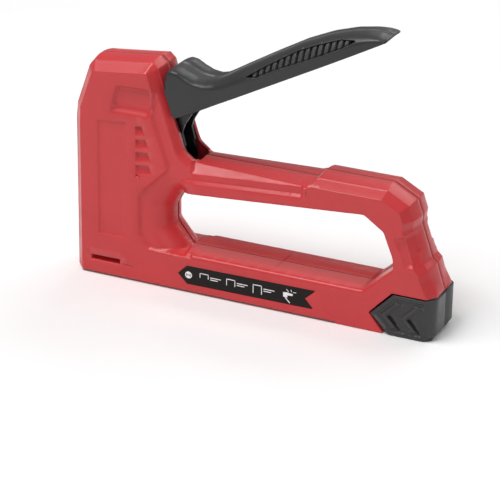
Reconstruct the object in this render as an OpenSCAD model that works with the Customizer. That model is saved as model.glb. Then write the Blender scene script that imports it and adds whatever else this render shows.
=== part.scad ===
/* [Body] */
// Length from the nose to the back of the end cap
body_length = 181; // [178:1:186]
// Thickness of the two shells together
body_thickness = 28; // [27.5:0.5:30]
// Wall of the moulded shells
wall = 2.2; // [2:0.1:2.4]
// Height of the head at its rear, at the seam
head_height = 108.4; // [108:0.4:110]
// Height of the top of the handle bar
handle_height = 64; // [63:0.5:65]
// Height of the lower bar at the seam
bar_height = 18.9; // [18.5:0.1:19.5]

/* [Edges] */
// Half width of the flat along the top and front edges
edge_flat = 9.5; // [9:0.1:10]
// Fall of the crown from the seam to that flat's edge
edge_crown = 0.9; // [0.5:0.1:1.2]
// Depth of the chamfer beside the flat
edge_chamfer = 4; // [3:0.5:4.5]

/* [Lever] */
// Distance of the lever pin behind the nose
pivot_x = 46; // [45.5:0.1:46.5]
// Height of the lever pin
pivot_z = 62; // [61.5:0.1:62.5]
// Radius of the lever pin
pivot_r = 3; // [2.5:0.1:3]
// Distance from the lever pin to the lifting roller
claw_reach = 31; // [30.5:0.1:31]
// Angle of the lifting claw below level at rest
claw_droop = 4; // [3:0.5:5]
// Width of the moulded lever
lever_width = 24; // [23:0.5:24]

/* [Magazine] */
// Outside width of the staple crown that the magazine takes
crown_width = 11.4; // [11.2:0.1:11.4]
// Height of the rail under the staple crown
rail_height = 11; // [10.5:0.5:11]
// Sheet thickness of the magazine channel
channel_sheet = 1; // [0.8:0.1:1]
// Gap between the nose plate and the channel, where one staple drops
drive_gap = 1.3; // [1.2:0.1:1.5]

/* [Drive] */
// Distance of the power spring's axis behind the nose
drive_x = 15; // [14.8:0.1:15.2]
// Wire diameter of the power spring
power_wire = 1.8; // [1.6:0.1:2]
// Mean radius of the power spring
power_r = 5.5; // [5.4:0.1:5.6]
// Turns of the power spring
power_turns = 8; // [7:1:8]
// Turns of the pusher spring
pusher_turns = 24; // [18:1:26]

/* [Hidden] */

red = [0.72, 0.13, 0.14];
dark_grey = [0.23, 0.23, 0.24];
steel = [0.66, 0.68, 0.70];
bright_steel = [0.80, 0.82, 0.84];
spring_steel = [0.45, 0.46, 0.48];
rubber_black = [0.08, 0.08, 0.08];
label_black = [0.05, 0.04, 0.04];

big = 400;
sole = 0.8;
half = body_thickness / 2;
inner_half = half - wall;
run_gap = 0.05;

// Places of the rear features, measured from the back of the end cap
rear = body_length;
cap_nose = [rear - 31.2, 8.9];
cap_top = [rear - 20.3, 20.3];
cap_heel = [rear - 24, 0];
head_front = head_height - 3.2;

// Side outline of the two shells at the seam, from the front of the sole round to the front of the head
body_outline = [
    [0, sole],
    [133.5, sole],
    [135.5, 0],
    [cap_heel[0], 0],
    cap_nose,
    cap_top,
    [rear - 0.4, 20.3],
    [rear - 4.6, 33.2],
    [rear - 7.1, 35.6],
    [rear - 12.6, 51.1],
    [rear - 12.2, 54.6],
    [rear - 14.9, 61.9],
    [rear - 26, handle_height + 3.9],
    [121, handle_height + 3.9],
    [118.6, handle_height],
    [61.5, handle_height],
    [56.4, 67.8],
    [52.2, 80.5],
    [46, 98.5],
    [43.6, head_height - 2.8],
    [40.2, head_height],
    [9.5, head_front],
    [6.5, 101.6],
    [0, 82.7]
];
// 1 for each side of that outline that is crowned and chamfered
body_soft = [for (i = [0:len(body_outline) - 1]) i > 5 ? 1 : 0];

// Outline of the opening that the fingers pass through
loop_outline = [
    [57, bar_height],
    [rear - 34.5, bar_height],
    [rear - 20.6, 31.6],
    [rear - 21, 36.6],
    [rear - 25.8, 48.4],
    [rear - 35.2, 54.8],
    [60, 48.6],
    [52.4, 45.4],
    [48.3, 38],
    [48.3, 29.4]
];

// Screw bosses that join the shells
screw_places = [
    [33.5, 97], [32.5, 27], [84, 56.6], [rear - 24, 58], [rear - 12.5, 27.5]
];
boss_r = 3.3;
screw_r = 1.2;
screw_head_r = 2.7;

// Steel cross pins that hold the drive guide and the channel between the shells
guide_pins = [[20, 22.5], [20, 33.5]];
channel_pins = [[62, 15.3], [112, 15.3]];
frame_pin_r = 1.5;
latch_pin_place = [145.5, 16];

pivot = [pivot_x, pivot_z];
plate_in = 4.2;
plate_out = 5.7;
roller = pivot + claw_reach * [-cos(claw_droop), -sin(claw_droop)];
roller_r = 3;

guide_x = 3.4;
guide_sheet = 1.2;
guide_half = 8.4;
guide_top = 98;
guide_bottom = 17.2;
blade_x = guide_x + guide_sheet + 0.2;
blade_t = 0.8;
channel_front = guide_x + guide_sheet + drive_gap;
channel_rear = 139;
channel_half = crown_width / 2 + 0.5 + channel_sheet;
channel_top = rail_height + 2.5;

shelf_z = roller[1] + roller_r + 0.5;
shelf_t = 2.5;
seat_z = 98.6;

rail_half = 4.9;
rail_floor = 1.1;
rod_z = 6.3;
rod_r = 1.5;
pusher_front = 7.8;
pusher_length = 14;
rod_rear = rear - 9;
rail_tail = rear - 11;
trough_end = rear - 30;
rail_rivet_places = [rear - 19, rear - 14];

// Side outline of the moulded lever, from the lower front corner along the grip and back over the top
lever_outline = [
    [51.6, 82.6],
    [56.6, 85.1],
    [64.2, 88.9],
    [145.6, 130.8],
    [151.8, 131.4],
    [151.6, 135.8],
    [147.5, 136],
    [138, 135],
    [128, 132.6],
    [117, 128.4],
    [82, 110],
    [72.5, 104.4],
    [66, 101.8],
    [60.5, 102.6],
    [52.6, 107],
    [47.8, 104.4],
    [46.9, 97.4]
];

// 1 for each side of the lever's outline that is crowned and chamfered
lever_soft = [for (i = [0:len(lever_outline) - 1]) i > 4 ? 1 : 0];
lever_shoulder = 4;
lever_wall = 3;

// Side outline of the ribbed window in each shoulder of the lever
insert_outline = [
    [84, 107.2], [95, 110.8], [108, 117.4], [122, 124.8], [136, 131.4],
    [131, 131.6], [117, 126.8], [99.5, 117.2]
];

function unit(v) = v / norm(v);
function left_of(v) = unit([-v[1], v[0]]);

// Moves every side of a counter-clockwise outline inwards by d, keeping its corners
function inset(pts, d) = [
    for (i = [0:len(pts) - 1])
        let (
            before = pts[(i + len(pts) - 1) % len(pts)],
            here = pts[i],
            after = pts[(i + 1) % len(pts)],
            a = left_of(here - before),
            b = left_of(after - here)
        )
        here + d * (a + b) / (1 + a * b)
];

// The same, with a distance of its own for each side
function inset_each(pts, ds) = [
    for (i = [0:len(pts) - 1])
        let (
            last = (i + len(pts) - 1) % len(pts),
            here = pts[i],
            a = left_of(here - pts[last]),
            b = left_of(pts[(i + 1) % len(pts)] - here),
            c = a * b,
            da = ds[last],
            db = ds[i]
        )
        abs(da - db) < 0.001
            ? here + da * (a + b) / (1 + c)
            : here + ((da - c * db) * a + (db - c * da) * b) / (1 - c * c)
];

// Everything is drawn from the nose backwards, then centred on the row's origin
module placed() {
    translate([-body_length / 2, 0, 0]) children();
}

// Extrudes a side outline across the thickness, from y0 to y1
module slab(pts, y0, y1) {
    translate([0, y1, 0])
        rotate([90, 0, 0])
            linear_extrude(y1 - y0)
                polygon(pts);
}

// A round bar across the thickness, from y0 to y1
module cross_bar(place, r, y0, y1, sides = 48) {
    translate([place[0], y1, place[1]])
        rotate([90, 0, 0])
            cylinder(h = y1 - y0, r = r, $fn = sides);
}

// A box given by its lowest and highest corners
module block(low, high) {
    translate(low) cube(high - low);
}

// A wire of radius r along a path; up is never parallel to the path
module wire(path, r, sides, up) {
    last = len(path) - 1;
    corners = [
        for (i = [0:last])
            let (
                along = unit(path[min(i + 1, last)] - path[max(i - 1, 0)]),
                across = unit(cross(up, along)),
                over = cross(along, across)
            )
            for (j = [0:sides - 1])
                path[i] + r * (cos(360 * j / sides) * across + sin(360 * j / sides) * over)
    ];
    skin = [
        for (i = [0:last - 1])
            for (j = [0:sides - 1])
                let (
                    k = (j + 1) % sides,
                    here = i * sides,
                    there = here + sides
                )
                each [[here + j, here + k, there + k], [here + j, there + k, there + j]]
    ];
    start = [for (j = [0:sides - 1]) sides - 1 - j];
    end = [for (j = [0:sides - 1]) last * sides + j];
    polyhedron(points = corners, faces = concat([start], skin, [end]), convexity = 12);
}

// Path of a compression spring standing on z = 0, with one closed turn at each end
function coil_height(t, turns, height, pitch) =
    t < 1 ? t * pitch
    : t > turns - 1 ? height - (turns - t) * pitch
    : pitch + (t - 1) * (height - 2 * pitch) / (turns - 2);

function coil_path(r, turns, height, pitch, steps) = [
    for (i = [0:turns * steps])
        let (t = i / steps)
        [r * cos(360 * t), r * sin(360 * t), coil_height(t, turns, height, pitch)]
];

// A moulding built up across its thickness from levels [y, distance of every side inwards], lowest y first
module layered_form(pts, levels) {
    count = len(pts);
    rings = [for (level = levels) inset_each(pts, level[1])];
    corners = [
        for (k = [0:len(levels) - 1])
            for (p = rings[k])
                [p[0], levels[k][0], p[1]]
    ];
    skin = [
        for (k = [0:len(levels) - 2])
            for (i = [0:count - 1])
                let (j = (i + 1) % count)
                [k * count + i, k * count + j, (k + 1) * count + j, (k + 1) * count + i]
    ];
    first_face = [for (i = [0:count - 1]) count - 1 - i];
    last_face = [for (i = [0:count - 1]) (len(levels) - 1) * count + i];
    polyhedron(points = corners, faces = concat([first_face], skin, [last_face]), convexity = 10);
}

// The levels of one half, repeated on the other side of the seam
function both_sides(levels) = concat(
    [for (k = [len(levels) - 1:-1:1]) [-levels[k][0], levels[k][1]]],
    levels
);

// Levels of a moulding with a crown and a chamfer on its soft sides, shrunk inwards by d
// The last level lies a little beyond the side, which side_cut then makes flat
function soft_levels(soft, flat, crown, chamfer, side, d) =
    let (
        low = flat - 0.4 * d,
        high = side - d,
        slope = (chamfer - 0.6 * d) / (high - low),
        last = high + 0.2
    )
    [
        [0, [for (s = soft) d]],
        [low, [for (s = soft) d + s * crown]],
        [last, [for (s = soft) d + s * (crown + slope * (last - low))]]
    ];

// Cuts a moulding off flat at each side
module side_cut(side) {
    intersection() {
        children();
        block([-5, -side, -5], [big, side, big]);
    }
}

function body_levels(d) = soft_levels(body_soft, edge_flat, edge_crown, edge_chamfer, half, d);

// The shells' outer form to one side and a little past the seam, with the finger loop
module half_body() {
    past_seam = [[-3, [for (s = body_soft) 0]]];
    difference() {
        side_cut(half) layered_form(body_outline, concat(past_seam, body_levels(0)));
        slab(loop_outline, -big, big);
    }
}

// The same form right across the seam, shrunk inwards by d on every face
module body_inside(d) {
    difference() {
        side_cut(half - d) layered_form(body_outline, both_sides(body_levels(d)));
        slab(inset(loop_outline, -d), -big, big);
    }
}

// Back of the head that is open between the shells, where the lever enters
head_opening = [
    [55.5, 61.8], [62.6, 61.8], [62.6, 80], [56, 104], [44, 104], [40, 102],
    [42, 96.6], [48, 78.6], [51.8, 65.6]
];

module body_openings() {
    // slot in the sole that the magazine channel fills
    block([guide_x - 0.2, -channel_half - 0.3, -5], [rear - 20, channel_half + 0.3, wall + 2]);
    // way out for the rail behind the channel
    block([rear - 42, -channel_half - 0.3, wall + sole], [rear - 20, channel_half + 0.3, 14.5]);
    slab(head_opening, -inner_half, inner_half);
}

// Shallow decorations in the side of a shell: plain panel, size window and louvres
module side_recesses() {
    skin = half - 0.9;
    slab([[13.8, 20.8], [28.7, 20.8], [28.7, 78.4], [13.8, 77.2]], skin, big);
    slab([[19.6, 82], [39.8, 82], [42.6, 84.4], [40.6, 95.6], [22.4, 95.6], [19.6, 92.4]], skin, big);
    for (i = [0:4]) {
        top = 77.4 - 6.5 * i;
        reach = [4.6, 7, 9, 9.2, 2.6][i];
        slab([
            [33.2, top - 4.4], [33.2 + reach, top - 3.6], [33.2 + 0.8 * reach, top - 1.4], [33.2, top]
        ], skin, big);
    }
    slab([[164.8, 47], [161.5, 46], [166, 34.4], [173, 34.4], [170.2, 42]], half - 0.7, big);
}

label_outline = [
    [54.9, 8.9], [59.7, 4.2], [123.6, 4.6], [119.4, 9.3], [124.6, 14.1], [59.7, 13.6]
];

module label_recess() {
    slab(label_outline, half - 0.25, big);
}

module label_sheet() {
    slab(inset(label_outline, 0.1), half - 0.25, half - 0.05);
}

// Small slot low in the nose, beside the first staple
module nose_slot() {
    block([9.8, 6, 7], [24.8, big, 9.5]);
    block([24.8, half - 0.6, 7], [31.8, big, 7.6]);
}

// Ribs that stand on the inside of each side wall and hold the guide and stiffen the bars
rib_places = [
    [26, 36], [26, 50], [26, 88], [72, 56.5], [97, 58], [110, 58.5], [134, 60.5]
];

module shell_ribs() {
    intersection() {
        body_inside(wall / 2);
        for (p = rib_places)
            block([p[0] - 0.8, guide_half + 0.4, p[1] - 6], [p[0] + 0.8, inner_half + 0.5, p[1] + 6]);
    }
}

// A tower on the inside of the wall, solid before its hole is drilled
module tower(place, r, y0) {
    intersection() {
        body_inside(wall / 2);
        cross_bar(place, r, y0, inner_half + 0.5);
    }
}

module half_shell(side) {
    fixed_pins = concat(guide_pins, channel_pins, [latch_pin_place]);
    pin_face = channel_half + 0.4;
    color(red)
        mirror([0, side < 0 ? 1 : 0, 0])
            difference() {
                union() {
                    difference() {
                        half_body();
                        body_inside(wall);
                    }
                    for (p = screw_places) tower(p, boss_r, -3);
                    for (p = guide_pins) tower(p, frame_pin_r + 1.6, guide_half + 0.2);
                    for (p = channel_pins) tower(p, frame_pin_r + 1.4, pin_face);
                    tower(latch_pin_place, frame_pin_r + 1.4, pin_face);
                    tower(pivot, pivot_r + 2.8, plate_out + 1.4);
                    shell_ribs();
                }
                // each half ends at the seam
                block([-5, -5, -5], [big, 0, big]);
                body_openings();
                side_recesses();
                label_recess();
                nose_slot();
                for (p = fixed_pins) cross_bar(p, frame_pin_r + 0.02, -1, half - 1.6);
                cross_bar(pivot, pivot_r + 0.02, -1, half - 1.6);
                for (p = screw_places) {
                    cross_bar(
                        p, side < 0 ? screw_r + 0.05 : screw_r + 0.3, -1, side < 0 ? half - 2.4 : big
                    );
                    if (side > 0) cross_bar(p, screw_head_r + 0.3, half - 2.6, big);
                }
            }
}

module left_shell() placed() half_shell(-1);

module right_shell() placed() half_shell(1);

module left_label() placed() color(label_black) mirror([0, 1, 0]) label_sheet();

module right_label() placed() color(label_black) label_sheet();

// Front wall of the staple drop, below the guide
module nose_plate() {
    placed()
        color(bright_steel)
            difference() {
                block([guide_x, -channel_half, 0], [channel_front - 0.1, channel_half, guide_bottom - 0.1]);
                block(
                    [guide_x + guide_sheet, -channel_half + channel_sheet, -1],
                    [big, channel_half - channel_sheet, big]
                );
            }
}

// Folded steel channel in which the striker runs
module drive_guide() {
    rear_edge = guide_x + 20.6;
    placed()
        color(steel)
            difference() {
                block([guide_x, -guide_half, guide_bottom], [rear_edge, guide_half, guide_top]);
                block(
                    [guide_x + guide_sheet, -guide_half + guide_sheet, -1],
                    [big, guide_half - guide_sheet, big]
                );
                for (p = guide_pins) cross_bar(p, frame_pin_r + 0.02, -20, 20);
                // front corner, cut off under the slanted top of the head
                slab([[0, 81.4], [3.4, 81.4], [12, 106], [0, 106]], -20, 20);
            }
}

// Rubber block that the striker lands on
module bumper() {
    placed()
        color(rubber_black)
            block([6.4, -6.6, 35.2], [21, 6.6, 41.6]);
}

// Upper seat of the power spring, with its spigot
module spring_seat() {
    placed()
        color(dark_grey)
            translate([drive_x, 0, seat_z]) {
                translate([0, 0, -6]) cylinder(h = 6, r = 4.1, $fn = 64);
                block([-5.6, -guide_half + 0.2, -0.55], [7.6, guide_half - 0.2, 1.8]);
            }
}

module power_spring() {
    foot = shelf_z + shelf_t + power_wire / 2 + 0.02;
    length = seat_z - 0.57 - power_wire / 2 - foot;
    placed()
        color(spring_steel)
            translate([drive_x, 0, foot])
                wire(
                    coil_path(power_r, power_turns, length, power_wire * 1.03, 18),
                    power_wire / 2, 8, [0, 0, 1]
                );
}

// Striker: an upright plate behind the blade, a shelf that the roller lifts and a spigot for the spring
module striker() {
    back_x = blade_x + blade_t + 0.02;
    placed()
        color(steel) {
            difference() {
                union() {
                    block([back_x, -5.6, 41.9], [back_x + 1.8, 5.6, shelf_z + shelf_t]);
                    block([back_x, -6.9, shelf_z], [22.4, 6.9, shelf_z + shelf_t]);
                    translate([drive_x, 0, shelf_z + shelf_t]) cylinder(h = 6, r = 4.1, $fn = 64);
                }
                for (z = [46, 53])
                    translate([back_x - 1, 0, z]) rotate([0, 90, 0]) cylinder(h = 6, r = 1.52, $fn = 48);
            }
        }
}

// Hardened blade that drives one staple
module driver_blade() {
    placed()
        color(bright_steel)
            difference() {
                block([blade_x, -crown_width / 2 + 0.1, 1], [blade_x + blade_t, crown_width / 2 - 0.1, 60]);
                for (z = [46, 53])
                    translate([blade_x - 1, 0, z]) rotate([0, 90, 0]) cylinder(h = 4, r = 1.52, $fn = 48);
            }
}

// Rivets that hold the blade on the striker, flush in front
module blade_rivets() {
    placed()
        color(bright_steel)
            for (z = [46, 53])
                translate([blade_x, 0, z]) rotate([0, 90, 0]) {
                    cylinder(h = blade_t + 1.82 + 0.02, r = 1.5, $fn = 48);
                    translate([0, 0, blade_t + 1.84]) cylinder(h = 1, r = 2.4, $fn = 48);
                }
}

// The moulded lever as one solid, shrunk inwards by d on every face
module lever_form(d) {
    w = lever_width / 2;
    side_cut(w - d)
        layered_form(
            lever_outline,
            both_sides(soft_levels(lever_soft, w - lever_shoulder, 1, 0.8 * lever_shoulder, w, d))
        );
}

// Hollow of the lever, open below along the whole grip
lever_hollow = [
    [54.6, 80], [146.5, 126.4], [146, 130.6], [138, 130.4], [128, 128], [117, 123.8], [82, 105.4],
    [72.5, 99.8], [66, 97.2], [60, 97.8], [52.6, 101.2], [50.8, 99.4], [49.6, 96.6], [53.8, 83.6]
];

module lever_grip() {
    inner = lever_width / 2 - lever_wall;
    placed()
        color(dark_grey)
            difference() {
                lever_form(0);
                difference() {
                    slab(lever_hollow, -inner, inner);
                    for (x = [74, 100])
                        for (side = [0, 1])
                            mirror([0, side, 0])
                                block([x - 1, plate_out + 0.3, 0], [x + 1, inner + 1, big]);
                }
                // slot in the front wall for the steel arms
                slab([[44, 78], [56, 78], [62, 92], [54, 96], [44, 96]], -7, 7);
                for (side = [0, 1])
                    mirror([0, side, 0])
                        slab(insert_outline, inner + 0.4, big);
                for (p = rivet_places) cross_bar(p, 1.52, -big, big);
            }
}

rivet_places = [[80, 100.2], [116, 119.4]];

// Ribbed pad in the shoulder of the lever
module grip_insert() {
    back = lever_width / 2 - lever_wall + 0.5;
    pts = inset(insert_outline, 0.15);
    slab(pts, back, lever_width / 2 - 1.6);
    intersection() {
        slab(inset(pts, 0.2), back + 0.2, lever_width / 2 - 1.1);
        for (i = [0:12]) block([88 + 3.4 * i, 0, 100], [89.8 + 3.4 * i, half, 140]);
    }
}

module left_grip_insert() placed() color(rubber_black) mirror([0, 1, 0]) grip_insert();

module right_grip_insert() placed() color(rubber_black) grip_insert();

// Side plate of the steel lever: pivot boss, lifting claw and the arm inside the grip
arm_outline = [
    [54.6, 68.4],
    [52.9, 74.6],
    [54.2, 78.6],
    [57.6, 84.2],
    [66, 90.4],
    [124, 121],
    [125, 124.6],
    [121.4, 124.6],
    [68, 96],
    [57, 95],
    [51.2, 93],
    [41, 70],
    [38, 60]
];

module side_plate() {
    slab(arm_outline, plate_in, plate_out);
    cross_bar(pivot, 9.6, plate_in, plate_out, 64);
    claw_drop = [sin(claw_droop), -cos(claw_droop)];
    slab(
        [roller + 4 * claw_drop, pivot + 7 * claw_drop, pivot - 4 * claw_drop, roller - 1.8 * claw_drop],
        plate_in, plate_out
    );
    cross_bar(roller, 2.8, plate_in, plate_out, 48);
}

module lever_frame() {
    placed()
        color(steel)
            difference() {
                union() {
                    side_plate();
                    mirror([0, 1, 0]) side_plate();
                    // web that joins the plates under the top of the grip
                    slab(
                        [[68, 94.5], [121.4, 123.1], [121.4, 124.6], [68, 96]],
                        -plate_in - 0.1, plate_in + 0.1
                    );
                }
                cross_bar(pivot, pivot_r + run_gap, -20, 20);
                cross_bar(roller, 1.52, -20, 20);
                for (p = rivet_places) cross_bar(p, 1.52, -20, 20);
            }
}

// Hollow rivets that fasten the moulded cover to the steel frame
module lever_rivets() {
    reach = lever_width / 2 - 1.9;
    placed()
        color(bright_steel)
            for (p = rivet_places) cross_bar(p, 1.5, -reach, reach);
}

// Hardened roller on its axle between the claws
module lift_roller() {
    placed()
        color(bright_steel) {
            cross_bar(roller, 1.5, -plate_out - 0.6, plate_out + 0.6);
            cross_bar(roller, roller_r, -plate_in + 0.2, plate_in - 0.2);
        }
}

module lever_pin() {
    placed()
        color(bright_steel)
            difference() {
                cross_bar(pivot, pivot_r, -half + 1.8, half - 1.8, 64);
                for (side = [-1, 1])
                    translate([pivot[0], side * (plate_out + 0.75), pivot[1]])
                        rotate([90, 0, 0])
                            difference() {
                                cylinder(h = 0.7, r = 6, center = true, $fn = 48);
                                cylinder(h = 1, r = pivot_r - 0.6, center = true, $fn = 48);
                            }
            }
}

// Open retaining clips in the grooves of the lever pin
module pin_clips() {
    placed()
        color(spring_steel)
            for (side = [-1, 1])
                translate([pivot[0], side * (plate_out + 0.75), pivot[1]])
                    rotate([90, 0, 0])
                        difference() {
                            cylinder(h = 0.6, r = 5, center = true, $fn = 48);
                            cylinder(h = 2, r = pivot_r - 0.55, center = true, $fn = 48);
                            translate([0, -4, 0]) cube([3, 8, 2], center = true);
                        }
}

// Torsion spring round the lever pin; one leg lies up the lever and one reaches down and forward
module lever_spring() {
    coil_r = 4.8;
    width = 6.4;
    turns = 5;
    start = 162;
    sweep = 360 * turns - 12;
    count = 70;
    coil = [
        for (i = [0:count])
            let (a = start + sweep * i / count)
            [pivot[0] + coil_r * cos(a), width * (i / count - 0.5), pivot[1] + coil_r * sin(a)]
    ];
    up_leg = coil[0] + 14 * [sin(start), 0, -cos(start)];
    down_leg = coil[count] + 11 * [-sin(start + sweep), 0, cos(start + sweep)];
    placed()
        color(spring_steel)
            wire(concat([up_leg], coil, [down_leg]), 0.55, 8, [0, 1, 0]);
}

// Outer staple channel: closed above, with two lips below that carry the rail
module magazine_channel() {
    lip = rail_half - 0.7;
    placed()
        color(steel)
            difference() {
                block([channel_front, -channel_half, 0], [channel_rear, channel_half, channel_top]);
                block(
                    [0, -channel_half + channel_sheet, 0.8],
                    [big, channel_half - channel_sheet, channel_top - channel_sheet]
                );
                block([0, -lip, -1], [big, lip, 2]);
                block([channel_rear - 14, -3, 5], [big, 3, big]);
            }
}

module frame_pins() {
    placed()
        color(bright_steel)
            for (p = concat(guide_pins, channel_pins))
                cross_bar(p, frame_pin_r, -half + 1.8, half - 1.8);
}

module latch_pin() {
    placed()
        color(bright_steel)
            cross_bar(latch_pin_place, frame_pin_r, -half + 1.8, half - 1.8);
}

// Screws from the right-hand side, with cross recesses
module shell_screws() {
    placed()
        color(spring_steel)
            for (p = screw_places)
                difference() {
                    union() {
                        cross_bar(p, screw_r, -half + 4, half - 3);
                        cross_bar(p, screw_head_r, half - 2.6, half - 0.9);
                        cross_bar(p, screw_r + 0.2, half - 3, half - 2.6);
                    }
                    for (turn = [45, 135])
                        translate([p[0], half - 0.9, p[1]])
                            rotate([0, turn, 0])
                                cube([0.6, 2, 3], center = true);
                }
}

// Open rail under the staple crowns; its trough carries the pusher rod and its solid tail fits the cap
module magazine_rail() {
    front = channel_front + 0.4;
    placed()
        color(bright_steel)
            difference() {
                block([front, -rail_half, rail_floor], [rail_tail, rail_half, rail_height]);
                block([front + 1, -rail_half + 0.8, rail_floor + 0.8], [trough_end, rail_half - 0.8, big]);
                translate([0, 0, rod_z]) rotate([0, 90, 0]) cylinder(h = big, r = rod_r + 0.02, $fn = 48);
                for (x = rail_rivet_places) cross_bar([x, 3], 1.02, -20, 20);
            }
}

module pusher_rod() {
    placed()
        color(bright_steel)
            translate([channel_front + 0.4, 0, rod_z])
                rotate([0, 90, 0])
                    cylinder(h = rod_rear - channel_front - 0.4, r = rod_r, $fn = 48);
}

// Side outline of the end cap, and 1 for each side of it that is crowned and chamfered
cap_outline = [
    [rear - 30.7, 8.9],
    [cap_heel[0] + 0.5, 1.6],
    [cap_heel[0] + 2.9, 0],
    [rear, 0],
    [rear, 19.9],
    [rear - 20.1, 19.9]
];
cap_soft = [0, 0, 0, 1, 0, 0];
cap_hollow = [
    [rear - 33, 5], [rear - 22, 3], [rear - 6.5, 3], [rear - 6.5, 17], [rear - 18.6, 17], [rear - 33, 13]
];

module cap_form() {
    difference() {
        side_cut(half)
            layered_form(
                cap_outline,
                both_sides(soft_levels(cap_soft, edge_flat, edge_crown, edge_chamfer, half, 0))
            );
        // lower rear corner
        slab([[rear - 2, -1], [rear + 1, -1], [rear + 1, 2.9]], -20, 20);
    }
}

// One chevron groove for the thumb, following the front of the cap
module cap_chevron(x) {
    slab([
        [x, 8.6], [x + 5, 3], [x + 6, 3], [x + 1, 8.6], [x + 7.2, 15.2], [x + 12, 15.2],
        [x + 12, 15.9], [x + 6.8, 15.9]
    ], half - 0.6, big);
}

module end_cap() {
    grip = rail_half + 2.4;
    placed()
        color(dark_grey)
            difference() {
                cap_form();
                // hollow round the block in the middle that grips the rail and the rod
                difference() {
                    slab(cap_hollow, -inner_half + 1, inner_half - 1);
                    block([0, -grip, -1], [rear, grip, rod_z + 5.2]);
                }
                block(
                    [0, -rail_half - 0.05, rail_floor - 0.05],
                    [rail_tail + 0.05, rail_half + 0.05, rail_height + 0.02]
                );
                translate([0, 0, rod_z])
                    rotate([0, 90, 0])
                        cylinder(h = rod_rear + 0.05, r = rod_r + 0.02, $fn = 48);
                for (x = rail_rivet_places) cross_bar([x, 3], 1.02, -grip - 1, grip + 1);
                for (side = [0, 1])
                    mirror([0, side, 0])
                        for (x = [rear - 24.6, rear - 12.6]) cap_chevron(x);
            }
}

// Rivets through the cap's block and the rail's tail
module rail_rivets() {
    reach = rail_half + 2.3;
    placed()
        color(bright_steel)
            for (x = rail_rivet_places) cross_bar([x, 3], 1, -reach, reach);
}

// Leaf spring on the cap whose bump holds it under the latch pin
module latch_spring() {
    leaf = rod_z + 5.25;
    placed()
        color(spring_steel)
            slab([
                [139.6, leaf], [rear - 12.3, leaf], [rear - 12.3, leaf + 0.8], [144, leaf + 0.8],
                [142.2, 14.1], [141, 14.1], [139.6, leaf + 1.2]
            ], -3, 3);
}

// Slider that pushes the staples forward, running on the rail and on the rod
module pusher() {
    back = pusher_front + pusher_length;
    wing = crown_width / 2;
    placed()
        color(dark_grey)
            difference() {
                union() {
                    block(
                        [pusher_front, -rail_half + 1, rail_floor + 1.2],
                        [back, rail_half - 1, rail_height + 0.4]
                    );
                    block([pusher_front - 1.2, -wing, rail_height + 0.2], [back, wing, rail_height + 1]);
                    for (side = [-1, 1])
                        translate([0, side * (wing + rail_half + 0.2) / 2, 0])
                            block(
                                [pusher_front - 1.2, -(wing - rail_half - 0.2) / 2, 2.4],
                                [back, (wing - rail_half - 0.2) / 2, rail_height + 0.5]
                            );
                }
                translate([0, 0, rod_z])
                    rotate([0, 90, 0])
                        cylinder(h = big, r = rod_r + run_gap, $fn = 48);
            }
}

// Long spring on the rod, between the pusher and the end cap
module pusher_spring() {
    from = pusher_front + pusher_length + 0.4;
    length = trough_end - 0.8 - from;
    placed()
        color(spring_steel)
            translate([from, 0, rod_z])
                rotate([0, 90, 0])
                    wire(coil_path(2.7, pusher_turns, length, 0.8, 10), 0.35, 5, [0, 0, 1]);
}

left_shell();
right_shell();
left_label();
right_label();
nose_plate();
drive_guide();
bumper();
spring_seat();
power_spring();
striker();
driver_blade();
blade_rivets();
lever_grip();
lever_frame();
left_grip_insert();
right_grip_insert();
lever_rivets();
lift_roller();
lever_pin();
pin_clips();
lever_spring();
magazine_channel();
frame_pins();
latch_pin();
shell_screws();
magazine_rail();
pusher_rod();
end_cap();
rail_rivets();
latch_spring();
pusher();
pusher_spring();
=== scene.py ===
import math

import bpy
import numpy as np
from mathutils import Matrix, Vector
from mathutils.geometry import delaunay_2d_cdt


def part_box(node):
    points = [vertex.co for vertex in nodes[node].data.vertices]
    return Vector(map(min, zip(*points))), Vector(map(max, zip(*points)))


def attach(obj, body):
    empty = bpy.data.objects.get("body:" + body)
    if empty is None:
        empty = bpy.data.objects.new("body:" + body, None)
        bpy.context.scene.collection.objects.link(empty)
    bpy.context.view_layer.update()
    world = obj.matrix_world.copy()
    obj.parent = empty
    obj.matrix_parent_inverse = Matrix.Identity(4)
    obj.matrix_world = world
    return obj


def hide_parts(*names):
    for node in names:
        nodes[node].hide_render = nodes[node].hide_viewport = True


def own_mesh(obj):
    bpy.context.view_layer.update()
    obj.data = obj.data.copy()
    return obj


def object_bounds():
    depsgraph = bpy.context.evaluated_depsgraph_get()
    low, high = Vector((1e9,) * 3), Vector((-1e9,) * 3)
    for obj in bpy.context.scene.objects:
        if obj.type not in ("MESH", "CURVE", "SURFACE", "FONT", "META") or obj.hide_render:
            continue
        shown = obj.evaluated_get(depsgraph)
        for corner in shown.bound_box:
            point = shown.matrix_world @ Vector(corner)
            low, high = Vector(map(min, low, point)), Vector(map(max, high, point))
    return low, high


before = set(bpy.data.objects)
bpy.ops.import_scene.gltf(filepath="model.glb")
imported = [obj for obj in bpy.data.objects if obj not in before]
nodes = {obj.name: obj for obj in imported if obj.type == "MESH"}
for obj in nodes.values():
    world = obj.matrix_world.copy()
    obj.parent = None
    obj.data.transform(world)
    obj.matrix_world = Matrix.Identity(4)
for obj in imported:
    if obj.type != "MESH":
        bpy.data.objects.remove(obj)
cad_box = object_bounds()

scene = bpy.context.scene
MM = 0.001                # metres in a millimetre
NOSE = cad_box[0][0]      # every outline below is in millimetres behind the nose and above the sole
HALF = 14.0               # half thickness of the body


# ---------------------------------------------------------------- outlines

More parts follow.
